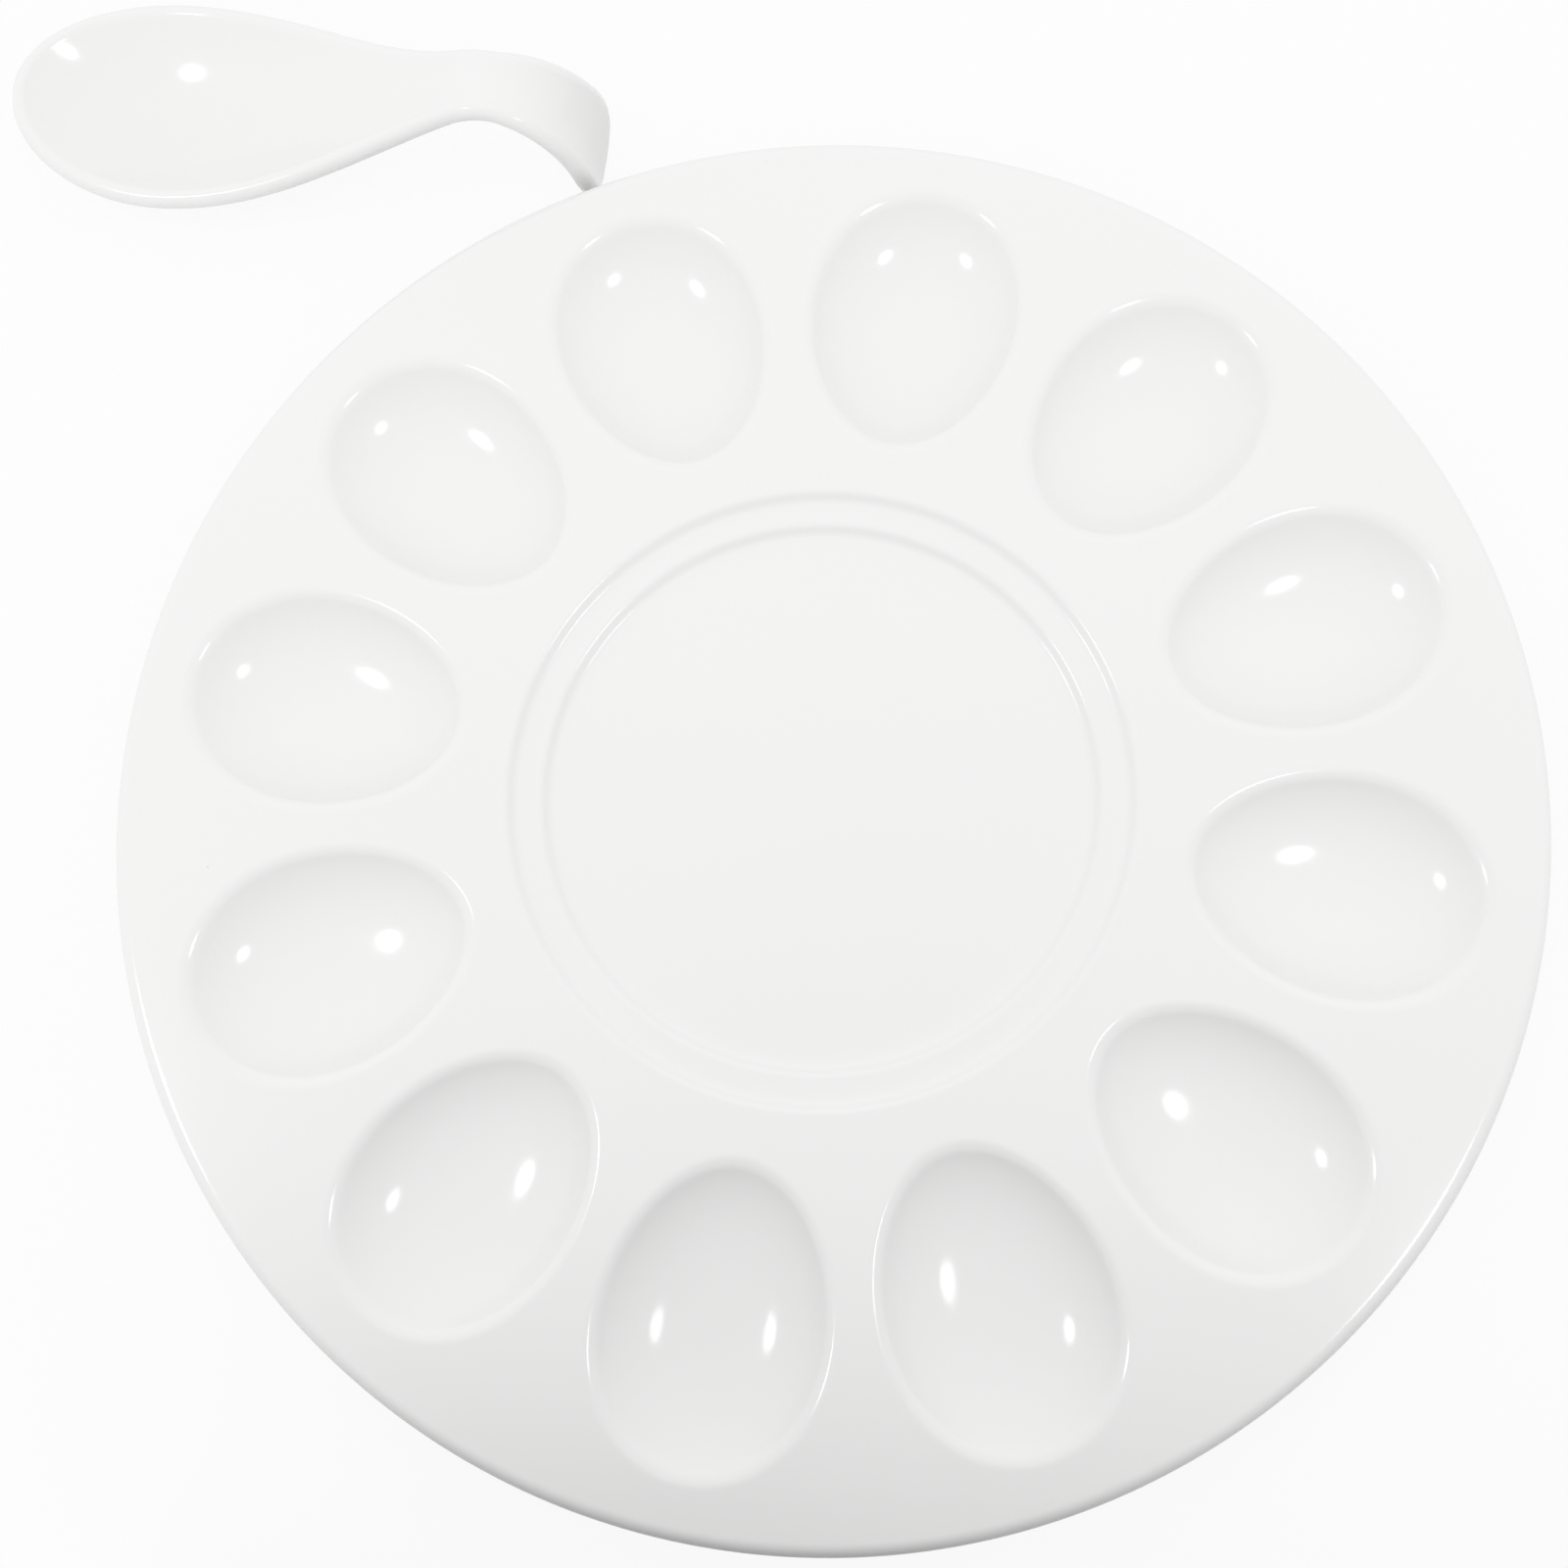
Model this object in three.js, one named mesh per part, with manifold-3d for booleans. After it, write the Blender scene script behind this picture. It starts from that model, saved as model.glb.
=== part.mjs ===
// A round porcelain plate with egg-shaped wells, and the hooked spoon that is served with it.
// Millimetres, +Z up. The origin is the middle of the dish floor, with a well on the +Y axis.

import * as THREE from 'three';
import { mergeVertices } from 'three/addons/utils/BufferGeometryUtils.js';
import Module from 'manifold-3d';

const wasm = await Module();
wasm.setup();

// Plate
const PLATE_DIAMETER = 307;
const DECK_THICKNESS = 5.5;
const EDGE_ROUND = 3;          // upper edge of the deck
const UNDER_EDGE_ROUND = 2;    // lower edge of the deck

// Egg wells, in a ring around the dish
const WELL_LENGTH = 62.5;
const WELL_WIDTH = 48;
const WELL_DEPTH = 10;
const WELL_SLOPE = 55;         // degrees, of the wall at its brim
const WELL_FULLNESS = 0.7;     // how squarely the wall turns into the bottom
const WELL_TAPER = 0.1;        // share of the width by which a well swells outward and narrows inward
const WELL_LIP = 3.5;          // rounding between the deck and a well
const WELL_WALL = 4;
const WELL_TO_EDGE = 12;       // deck between a well and the plate's edge
const WELL_LAND = 8;           // least deck between two wells

// Dish in the middle, two soft steps down
const DISH_LAND = 12.4;        // deck between the wells and the upper step
const TERRACE_WIDTH = 7.4;     // from the upper step to the lower step
const STEP_DROP = 1.3;
const STEP_RUN = 3;

// Foot ring under the dish
const FOOT_WIDTH = 5;
const FOOT_ROUND = 1.2;
const FOOT_COVE = 3;           // hollow rounding where the foot meets the underside
const FOOT_TO_WELL = 4;        // between the foot and the wells' walls
const WELL_CLEARANCE = 6.5;    // between the wells' undersides and the table

// Spoon, measured along the middle of its rim from the tip of the bowl to the end of the handle
const SPOON_WALL = 4.5;
const BOWL_WIDTH = 54;
const BOWL_FRONT = 37;         // from the tip to the widest place
const BOWL_DEPTH = 9.5;
const NECK_WIDTH = 17;
const NECK_AT = 125;
const TAIL_WIDTH = 27;
const TAIL_ROUND = 12.5;       // length over which the end is rounded off
const TIP_PITCH = -10;         // degrees, heading of the rim at the tip
const RISE_LENGTH = 113.6;     // bowl and neck, where the rim curves upward
const RISE_TURN = 36;          // degrees
const HOOK_RADIUS = 19.3;      // over the top of the hook
const HOOK_TURN = 67;          // degrees
const DROP_RADIUS = 25.3;      // from there down to the table
const DROP_TURN = 61.7;        // degrees
const SPOON_FLAT = 0.4;        // ground off underneath, so that the spoon stands

// Where the spoon stands: the end of its hook beside the plate's edge
const SPOON_BEARING = 0.7;     // degrees from +Y, clockwise
const SPOON_GAP = 1.2;         // least room between the plate's edge and the hook
const SPOON_HEADING = -26.2;   // degrees from +X, the way the handle points

// Facets
const PLATE_SEGMENTS = 60;
const WELL_SEGMENTS = 20;
const BULGE_SEGMENTS = 16;
const FRONT_ROWS = 7;
const BODY_ROWS = 24;
const TAIL_ROWS = 5;
const SPOON_COLUMNS = 8;
const EDGE_STEPS = 4;

// Working allowances
const CUT_MARGIN = 2;          // how far a cutter stands above what it cuts
const SLOPE_STEP = 0.01;       // length over which the spoon's outline slope is taken

const degrees = THREE.MathUtils.degToRad;

const plateRadius = PLATE_DIAMETER / 2;
const wellRingRadius = plateRadius - WELL_TO_EDGE - WELL_LENGTH / 2;
const wellInnerEnd = wellRingRadius - WELL_LENGTH / 2;
const wellCount = Math.floor((2 * Math.PI * wellRingRadius) / (WELL_WIDTH + WELL_LAND));
const wellSlope = degrees(WELL_SLOPE);
const lipRun = WELL_LIP * Math.sin(wellSlope);
const lipDrop = WELL_LIP * (1 - Math.cos(wellSlope));
const brimRadius = (WELL_WIDTH - lipRun) / 2;
const upperStepRadius = wellInnerEnd - DISH_LAND;
const lowerStepRadius = upperStepRadius - TERRACE_WIDTH;
const deckTop = 2 * STEP_DROP;
const deckUnderside = deckTop - DECK_THICKNESS;
const dishUnderside = -DECK_THICKNESS;
const tableLevel = deckTop - WELL_DEPTH - WELL_WALL - WELL_CLEARANCE;
const footOuterRadius = wellInnerEnd - WELL_WALL - FOOT_TO_WELL;
const footInnerRadius = footOuterRadius - FOOT_WIDTH;

const porcelain = new THREE.MeshStandardMaterial({ color: 0xf4f4f2, roughness: 0.12, metalness: 0 });

// A closed geometry as a solid that can be joined and cut.
function toSolid(geometry) {
  geometry.deleteAttribute('normal');
  geometry.deleteAttribute('uv');
  const merged = mergeVertices(geometry);
  const corners = merged.index.array;
  const triangles = [];
  for (let i = 0; i < corners.length; i += 3) {
    const [a, b, c] = [corners[i], corners[i + 1], corners[i + 2]];
    if (a !== b && b !== c && c !== a) {
      triangles.push(a, b, c);
    }
  }
  const vertProperties = new Float32Array(merged.attributes.position.array);
  const triVerts = new Uint32Array(triangles);
  return new wasm.Manifold(new wasm.Mesh({ numProp: 3, vertProperties, triVerts }));
}

// A finished solid as a named mesh.
function toMesh(name, solid, material) {
  const { vertProperties, triVerts } = solid.getMesh();
  const geometry = new THREE.BufferGeometry();
  geometry.setAttribute('position', new THREE.BufferAttribute(vertProperties, 3));
  geometry.setIndex(new THREE.BufferAttribute(triVerts, 1));
  geometry.computeVertexNormals();
  const mesh = new THREE.Mesh(geometry, material);
  mesh.name = name;
  return mesh;
}

// A profile in radius and height, turned about the Z axis.
function turned(profile, divisions, segments) {
  return new THREE.LatheGeometry(profile.getPoints(divisions), segments).rotateX(Math.PI / 2);
}

// Soft step down towards the axis, drawn from its upper side.
function stepDown(profile, radius, top) {
  const half = STEP_RUN / 2;
  const bottom = top - STEP_DROP;
  profile.lineTo(radius + half, top);
  profile.quadraticCurveTo(radius + half / 2, top, radius, (top + bottom) / 2);
  profile.quadraticCurveTo(radius - half / 2, bottom, radius - half, bottom);
}

// The plate without its wells: underside, foot ring, edge, deck and dish.
function plateBlank() {
  const profile = new THREE.Path();
  const toe = tableLevel + FOOT_ROUND;
  profile.moveTo(0, dishUnderside);
  profile.lineTo(footInnerRadius - FOOT_COVE, dishUnderside);
  profile.quadraticCurveTo(footInnerRadius, dishUnderside, footInnerRadius, dishUnderside - FOOT_COVE);
  profile.absarc(footInnerRadius + FOOT_ROUND, toe, FOOT_ROUND, Math.PI, 1.5 * Math.PI);
  profile.absarc(footOuterRadius - FOOT_ROUND, toe, FOOT_ROUND, -0.5 * Math.PI, 0);
  profile.lineTo(footOuterRadius, deckUnderside - FOOT_COVE);
  profile.quadraticCurveTo(footOuterRadius, deckUnderside, footOuterRadius + FOOT_COVE, deckUnderside);
  const underRound = deckUnderside + UNDER_EDGE_ROUND;
  profile.absarc(plateRadius - UNDER_EDGE_ROUND, underRound, UNDER_EDGE_ROUND, -0.5 * Math.PI, 0);
  profile.absarc(plateRadius - EDGE_ROUND, deckTop - EDGE_ROUND, EDGE_ROUND, 0, 0.5 * Math.PI);
  stepDown(profile, upperStepRadius, deckTop);
  stepDown(profile, lowerStepRadius, deckTop - STEP_DROP);
  profile.lineTo(0, 0);
  return toSolid(turned(profile, 2, PLATE_SEGMENTS));
}

// A round bowl pulled out into an egg, its broad end along +Y.
function eggShaped(geometry) {
  const halfWidth = WELL_WIDTH / 2;
  const extraLength = (WELL_LENGTH - WELL_WIDTH) / 2;
  const place = geometry.attributes.position;
  for (let i = 0; i < place.count; i += 1) {
    const radius = Math.hypot(place.getX(i), place.getY(i));
    const along = place.getY(i) * (1 + extraLength / Math.max(radius, halfWidth));
    const swell = 1 + (WELL_TAPER * along) / (halfWidth + extraLength);
    place.setXY(i, place.getX(i) * swell, along);
  }
  return geometry;
}

// A bowl's profile from the middle of its bottom, lying flat there and rising to the wall's slope at its brim.
function bowlProfile(halfWidth, bottom, brim) {
  const profile = new THREE.Path();
  const rise = WELL_FULLNESS * (brim - bottom);
  const run = rise / Math.tan(wellSlope);
  const flat = WELL_FULLNESS * halfWidth - run;
  profile.moveTo(0, bottom);
  profile.bezierCurveTo(flat, bottom, halfWidth - run, brim - rise, halfWidth, brim);
  return profile;
}

// The space of one well: half an egg with a rounded lip, open through the deck.
function wellSpace() {
  const profile = bowlProfile(brimRadius, deckTop - WELL_DEPTH, deckTop - lipDrop);
  const lipEnd = brimRadius + lipRun;
  profile.quadraticCurveTo(brimRadius + lipDrop / Math.tan(wellSlope), deckTop, lipEnd, deckTop);
  profile.lineTo(lipEnd, deckTop + CUT_MARGIN);
  profile.lineTo(0, deckTop + CUT_MARGIN);
  return eggShaped(turned(profile, 5, WELL_SEGMENTS));
}

// The wall of one well, hanging from inside the deck.
function wellBulge() {
  const halfWidth = brimRadius + WELL_WALL * Math.sin(wellSlope);
  const root = deckTop - lipDrop - WELL_WALL * Math.cos(wellSlope);
  const profile = bowlProfile(halfWidth, deckTop - WELL_DEPTH - WELL_WALL, root);
  profile.lineTo(0, root);
  return eggShaped(turned(profile, 4, BULGE_SEGMENTS));
}

// Copies of an egg shape at every well's place, broad ends outward.
function atEachWell(makeShape) {
  const solids = [];
  for (let i = 0; i < wellCount; i += 1) {
    const shape = makeShape().translate(0, wellRingRadius, 0).rotateZ((-2 * Math.PI * i) / wellCount);
    solids.push(toSolid(shape));
  }
  return solids;
}

function eggPlate() {
  let solid = plateBlank();
  for (const bulge of atEachWell(wellBulge)) {
    solid = solid.add(bulge);
  }
  for (const space of atEachWell(wellSpace)) {
    solid = solid.subtract(space);
  }
  return toMesh('egg_plate', solid, porcelain);
}

// Spoon: in side view its rim line is three arcs, one that rises, one over the top and one down.
const rimArcs = [
  { length: RISE_LENGTH, turn: degrees(RISE_TURN) },
  { length: HOOK_RADIUS * degrees(HOOK_TURN), turn: -degrees(HOOK_TURN) },
  { length: DROP_RADIUS * degrees(DROP_TURN), turn: -degrees(DROP_TURN) },
];
const rimLength = rimArcs.reduce((sum, arc) => sum + arc.length, 0);
const edgeRadius = SPOON_WALL / 2;
const bowlHalf = BOWL_WIDTH / 2 - edgeRadius;
const neckHalf = NECK_WIDTH / 2 - edgeRadius;
const tailHalf = TAIL_WIDTH / 2 - edgeRadius;
const bowlCurve = BOWL_DEPTH / bowlHalf ** 2;

// Position and heading in side view after a length of the rim line.
function rimLine(length) {
  let [x, z, heading, left] = [0, 0, degrees(TIP_PITCH), length];
  for (const arc of rimArcs) {
    const run = THREE.MathUtils.clamp(left, 0, arc.length);
    const radius = arc.length / arc.turn;
    const next = heading + run / radius;
    x += radius * (Math.sin(next) - Math.sin(heading));
    z -= radius * (Math.cos(next) - Math.cos(heading));
    heading = next;
    left -= run;
  }
  return { x, z, heading };
}

// Square of half the width, taken between the middles of the two rounded edges: nought at both ends.
function halfWidthSquared(length) {
  const share = (from, to) => THREE.MathUtils.clamp((length - from) / (to - from), 0, 1);
  const front = 1 - share(0, BOWL_FRONT);
  const body = (1 + Math.cos(Math.PI * share(BOWL_FRONT, NECK_AT))) / 2;
  const half = neckHalf + (bowlHalf - neckHalf) * body + (tailHalf - neckHalf) * share(NECK_AT, rimLength);
  const tail = share(rimLength - TAIL_ROUND, rimLength);
  return half ** 2 * (1 - front ** 2) * (1 - tail ** 2);
}

// One closed loop around the spoon: over the top, round one edge, back underneath, round the other edge.
function spoonLoop(length) {
  const { x, z, heading } = rimLine(length);
  const along = new THREE.Vector3(Math.cos(heading), 0, Math.sin(heading));
  const up = new THREE.Vector3(-Math.sin(heading), 0, Math.cos(heading));
  const across = new THREE.Vector3(0, 1, 0);
  const square = halfWidthSquared(length);
  const half = Math.sqrt(square);
  const [before, after] = [Math.max(length - SLOPE_STEP, 0), Math.min(length + SLOPE_STEP, rimLength)];
  const growth = (halfWidthSquared(after) - halfWidthSquared(before)) / (after - before);
  const slopeAlong = -bowlCurve * growth;

  // A point of the wall: its middle at a place across the spoon, moved outward and upward.
  const wallPoint = (place, outward, upward) => {
    const y = place * half;
    const slopeAcross = 2 * bowlCurve * y;
    const sink = bowlCurve * (y ** 2 - square);
    const alongWall = along.clone().addScaledVector(up, slopeAlong);
    const acrossWall = across.clone().addScaledVector(up, slopeAcross);
    const normal = new THREE.Vector3().crossVectors(alongWall, acrossWall).normalize();
    const out = alongWall.multiplyScalar(-growth).addScaledVector(acrossWall, 2 * y).normalize();
    const point = new THREE.Vector3(x, y, z).addScaledVector(up, sink);
    return point.addScaledVector(out, outward * edgeRadius).addScaledVector(normal, upward * edgeRadius);
  };

  const loop = [];
  for (const side of [1, -1]) {
    for (let i = 0; i <= SPOON_COLUMNS; i += 1) {
      loop.push(wallPoint(side * ((2 * i) / SPOON_COLUMNS - 1), 0, side));
    }
    for (let i = 1; i < EDGE_STEPS; i += 1) {
      const turn = (Math.PI * i) / EDGE_STEPS;
      loop.push(wallPoint(side, Math.sin(turn), side * Math.cos(turn)));
    }
  }
  return loop;
}

// Lengths along the rim line where the loops stand, closer together where the outline turns in.
function spoonStations() {
  const stations = [];
  for (let i = 0; i < FRONT_ROWS; i += 1) {
    stations.push(BOWL_FRONT * (1 - Math.cos((Math.PI / 2) * (i / FRONT_ROWS))));
  }
  const straight = rimLength - TAIL_ROUND - BOWL_FRONT;
  for (let i = 0; i < BODY_ROWS; i += 1) {
    stations.push(BOWL_FRONT + (straight * i) / BODY_ROWS);
  }
  for (let i = 0; i <= TAIL_ROWS; i += 1) {
    stations.push(rimLength - TAIL_ROUND * (1 - Math.sin((Math.PI / 2) * (i / TAIL_ROWS))));
  }
  return stations;
}

// A skin over a row of loops that close up at both ends.
function skinOver(loops) {
  const size = loops[0].length;
  const corners = [];
  for (let row = 0; row < loops.length - 1; row += 1) {
    for (let i = 0; i < size; i += 1) {
      const [a, b] = [row * size + i, row * size + ((i + 1) % size)];
      corners.push(a, a + size, b, a + size, b + size, b);
    }
  }
  const geometry = new THREE.BufferGeometry().setFromPoints(loops.flat());
  geometry.setIndex(corners);
  return geometry;
}

// The spoon, standing on the flat ground under its bowl. Its own origin is on the table below its hook.
function servingSpoon() {
  const skin = skinOver(spoonStations().map(spoonLoop));
  skin.computeBoundingBox();
  const { min, max } = skin.boundingBox;
  skin.translate(-max.x, 0, -min.z - SPOON_FLAT);
  const table = new THREE.BoxGeometry(2 * (max.x - min.x), 2 * BOWL_WIDTH, 2 * SPOON_FLAT);
  table.translate(0, 0, -SPOON_FLAT);
  const mesh = toMesh('serving_spoon', toSolid(skin).subtract(toSolid(table)), porcelain);
  const reach = plateRadius + SPOON_GAP + TAIL_WIDTH / 2;
  const bearing = degrees(SPOON_BEARING);
  mesh.position.set(reach * Math.sin(bearing), reach * Math.cos(bearing), tableLevel);
  mesh.rotation.z = degrees(SPOON_HEADING);
  return mesh;
}

const set = new THREE.Group();
set.add(eggPlate(), servingSpoon());

export default set;
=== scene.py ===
"""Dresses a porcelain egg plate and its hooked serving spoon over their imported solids.

Lengths are in metres, in the frame of the solids: +Z is up, the origin is the middle of the dish floor, and
one egg well lies on the +Y axis.
"""

import logging
import math
from dataclasses import dataclass, field
from enum import Enum
from typing import Any

import bmesh
import bpy
import numpy as np
from mathutils import Matrix, Vector

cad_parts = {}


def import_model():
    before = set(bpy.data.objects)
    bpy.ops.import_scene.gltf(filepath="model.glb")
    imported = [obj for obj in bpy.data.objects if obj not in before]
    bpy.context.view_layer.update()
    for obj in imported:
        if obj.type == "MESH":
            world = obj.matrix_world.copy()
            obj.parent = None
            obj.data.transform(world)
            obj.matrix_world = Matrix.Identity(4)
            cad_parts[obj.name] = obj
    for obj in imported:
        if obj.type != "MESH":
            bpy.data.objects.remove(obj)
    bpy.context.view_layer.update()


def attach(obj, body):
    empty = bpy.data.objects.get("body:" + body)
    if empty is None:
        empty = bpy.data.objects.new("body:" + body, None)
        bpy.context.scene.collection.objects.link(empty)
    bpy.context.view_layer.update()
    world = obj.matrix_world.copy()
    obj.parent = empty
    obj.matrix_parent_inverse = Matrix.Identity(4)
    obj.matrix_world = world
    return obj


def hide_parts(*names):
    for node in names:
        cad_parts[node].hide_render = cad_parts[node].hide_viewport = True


LOG = logging.getLogger("egg_plate_scene")
MM = 0.001
BARE_MARK = "bare_clay"
TINY = 1e-12

Point = tuple[float, float]
Place = tuple[float, float, float]
Colour = tuple[float, float, float, float]
Node = bpy.types.Node
Socket = bpy.types.NodeSocket
Material = bpy.types.Material

WHITE: Colour = (1.0, 1.0, 1.0, 1.0)


class Surface(Enum):
    """What a face of the porcelain is finished with."""

    GLAZE = 0
    BARE = 1


def curve(start: Point, corner: Point, end: Point, steps: int) -> np.ndarray:
    """Draws a quadratic curve in a profile.

    Args:
        start: First point, as radius and height.
        corner: Point where the tangents of both ends meet.
        end: Last point.
        steps: Number of steps along the curve.

    Returns:
        The curve's points, one row each.
    """
    share = np.linspace(0.0, 1.0, steps + 1)[:, None]
    first, middle, last = (np.asarray(point) for point in (start, corner, end))
    return (1 - share) ** 2 * first + 2 * share * (1 - share) * middle + share**2 * last


def arc(centre: Point, radius: float, start: float, end: float, steps: int) -> np.ndarray:
    """Draws a circular arc in a profile.

    Args:
        centre: Middle of the arc, as radius and height.
        radius: Radius of the arc.
        start: Angle of the first point in degrees, from the outward direction.
        end: Angle of the last point in degrees.
        steps: Number of steps along the arc.

    Returns:
        The arc's points, one row each.
    """
    turn = np.radians(np.linspace(start, end, steps + 1))
    return np.stack([centre[0] + radius * np.cos(turn), centre[1] + radius * np.sin(turn)], axis=-1)


def line(start: Point, end: Point, steps: int) -> np.ndarray:
    """Draws a straight line in a profile.

    Args:
        start: First point, as radius and height.
        end: Last point.
        steps: Number of steps along the line.

    Returns:
        The line's points, one row each.
    """
    return np.linspace(start, end, steps + 1)


@dataclass
class MeshDraft:
    """Patches of quads that are put together into one mesh."""

    points: list[np.ndarray] = field(default_factory=list)
    corners: list[np.ndarray] = field(default_factory=list)
    surfaces: list[np.ndarray] = field(default_factory=list)
    count: int = 0

    def add(self, grid: np.ndarray, closed: bool = False, surface: Surface = Surface.GLAZE) -> None:
        """Adds one patch.

        Args:
            grid: Points, as rows by columns by 3.
            closed: True if the last column joins the first one.
            surface: What the patch is finished with.
        """
        rows, columns = grid.shape[:2]
        index = np.arange(rows * columns).reshape(rows, columns) + self.count
        if closed:
            index = np.hstack([index, index[:, :1]])
        sides = (index[:-1, :-1], index[:-1, 1:], index[1:, 1:], index[1:, :-1])
        quads = np.stack(sides, axis=-1).reshape(-1, 4)
        self.points.append(grid.reshape(-1, 3))
        self.corners.append(quads)
        self.surfaces.append(np.full(len(quads), surface.value))
        self.count += rows * columns

    def mesh(self, name: str) -> bpy.types.Mesh:
        """Puts the patches together.

        Args:
            name: The mesh's name.

        Returns:
            A mesh whose faces say in their attribute BARE_MARK if they are left without glaze.
        """
        mesh = bpy.data.meshes.new(name)
        mesh.from_pydata(np.concatenate(self.points).tolist(), [], np.concatenate(self.corners).tolist())
        mark = mesh.attributes.new(BARE_MARK, "BOOLEAN", "FACE")
        mark.data.foreach_set("value", np.concatenate(self.surfaces) == Surface.BARE.value)
        return mesh


def close_skin(mesh: bpy.types.Mesh, weld: float) -> None:
    """Welds a mesh's doubled points and turns its faces outward.

    Args:
        mesh: The mesh to close.
        weld: Distance under which two points are one.
    """
    skin = bmesh.new()
    skin.from_mesh(mesh)
    bmesh.ops.remove_doubles(skin, verts=skin.verts, dist=weld)
    bmesh.ops.recalc_face_normals(skin, faces=skin.faces)
    for face in skin.faces:
        face.smooth = True
    skin.to_mesh(mesh)
    skin.free()


def show(name: str, mesh: bpy.types.Mesh) -> bpy.types.Object:
    """Puts a mesh into the scene.

    Args:
        name: The object's name.
        mesh: Its mesh, already in place.

    Returns:
        The new object, at the origin.
    """
    piece = bpy.data.objects.new(name, mesh)
    bpy.context.scene.collection.objects.link(piece)
    return piece


@dataclass(frozen=True)
class NodeDesk:
    """Places and joins the nodes of one tree."""

    tree: bpy.types.NodeTree

    def sockets(self, way: str, kind: str, names: tuple[str, ...]) -> None:
        """Names sockets of one kind on a group's INPUT or OUTPUT side."""
        for name in names:
            self.tree.interface.new_socket(name, in_out=way, socket_type=kind)

    def node(self, kind: str, values: dict[str, Any] | None = None, **settings: Any) -> Node:
        """Adds a node.

        Args:
            kind: The node's type.
            values: Starting values of its inputs, by input name, or links from other nodes' outputs.
            settings: The node's own settings.

        Returns:
            The new node.
        """
        made = self.tree.nodes.new(kind)
        for name, setting in settings.items():
            setattr(made, name, setting)
        for name, value in (values or {}).items():
            self.feed(made.inputs[name], value)
        return made

    def feed(self, socket: Socket, value: Any) -> None:
        """Gives an input its value, or links it if the value is another node's output."""
        if isinstance(value, bpy.types.NodeSocket):
            self.tree.links.new(value, socket)
        else:
            socket.default_value = value

    def sum(self, kind: str, first: Any, second: Any, third: Any = 0.0) -> Socket:
        """Adds a Math node.

        Args:
            kind: The sum it does, such as MULTIPLY.
            first: First value or link.
            second: Second value or link.
            third: Third value or link, for sums of three.

        Returns:
            The node's output.
        """
        made = self.node("ShaderNodeMath", operation=kind)
        for socket, value in zip(made.inputs, (first, second, third)):
            self.feed(socket, value)
        return made.outputs[0]

    def blend(self, share: Any, first: Any, second: Any) -> Socket:
        """Adds a node that mixes two colours.

        Args:
            share: Share of the second colour.
            first: First colour or link.
            second: Second colour or link.

        Returns:
            The mixed colour.
        """
        made = self.node("ShaderNodeMix", data_type="RGBA")
        for name, value in (("Factor_Float", share), ("A_Color", first), ("B_Color", second)):
            self.feed(next(s for s in made.inputs if s.identifier == name), value)
        return next(s for s in made.outputs if s.identifier == "Result_Color")


def blank_material(name: str) -> tuple[Material, NodeDesk]:
    """Makes a material with no nodes.

    Args:
        name: The material's name.

    Returns:
        The material, and a desk to place its nodes with.
    """
    made = bpy.data.materials.new(name)
    made.use_nodes = True
    made.node_tree.nodes.clear()
    return made, NodeDesk(made.node_tree)


def fired_clay() -> bpy.types.NodeTree:
    """Builds the shared look of fired clay: drifting tone, rare specks and a rippled surface.

    Returns:
        The node group.
    """
    group = bpy.data.node_groups.new("fired_clay", "ShaderNodeTree")
    desk = NodeDesk(group)
    scales = ("Drift Scale", "Speck Scale", "Speck Size", "Ripple Scale", "Grain Scale", "Grain Share")
    desk.sockets("INPUT", "NodeSocketVector", ("Place",))
    desk.sockets("INPUT", "NodeSocketColor", ("Light Tone", "Shade Tone", "Speck Tone"))
    desk.sockets("INPUT", "NodeSocketFloat", (*scales, "Smooth", "Dull"))
    desk.sockets("OUTPUT", "NodeSocketColor", ("Colour",))
    desk.sockets("OUTPUT", "NodeSocketFloat", ("Roughness", "Height"))
    given = desk.node("NodeGroupInput").outputs
    place = given["Place"]

    drift = desk.node("ShaderNodeTexNoise", {"Vector": place, "Scale": given["Drift Scale"], "Detail": 3.0})
    tone = desk.blend(drift.outputs["Fac"], given["Light Tone"], given["Shade Tone"])

    cells = desk.node("ShaderNodeTexVoronoi", {"Vector": place, "Scale": given["Speck Scale"]})
    parts = desk.node("ShaderNodeSeparateColor", {"Color": cells.outputs["Color"]})
    speckless_share = 0.8
    chosen = desk.sum("GREATER_THAN", parts.outputs["Red"], speckless_share)
    size = desk.sum("MULTIPLY", given["Speck Size"], parts.outputs["Green"])
    inside = desk.sum("LESS_THAN", cells.outputs["Distance"], size)
    speck = desk.sum("MULTIPLY", chosen, inside)
    colour = desk.blend(speck, tone, given["Speck Tone"])

    ripple = desk.node("ShaderNodeTexNoise", {"Vector": place, "Scale": given["Ripple Scale"], "Detail": 1.0})
    grain = desk.node("ShaderNodeTexNoise", {"Vector": place, "Scale": given["Grain Scale"], "Detail": 2.0})
    fine = desk.sum("MULTIPLY", grain.outputs["Fac"], given["Grain Share"])
    height = desk.sum("ADD", ripple.outputs["Fac"], fine)

    span = desk.sum("SUBTRACT", given["Dull"], given["Smooth"])
    rough = desk.sum("MULTIPLY_ADD", grain.outputs["Fac"], span, given["Smooth"])

    desk.node("NodeGroupOutput", {"Colour": colour, "Roughness": rough, "Height": height})
    return group


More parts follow.
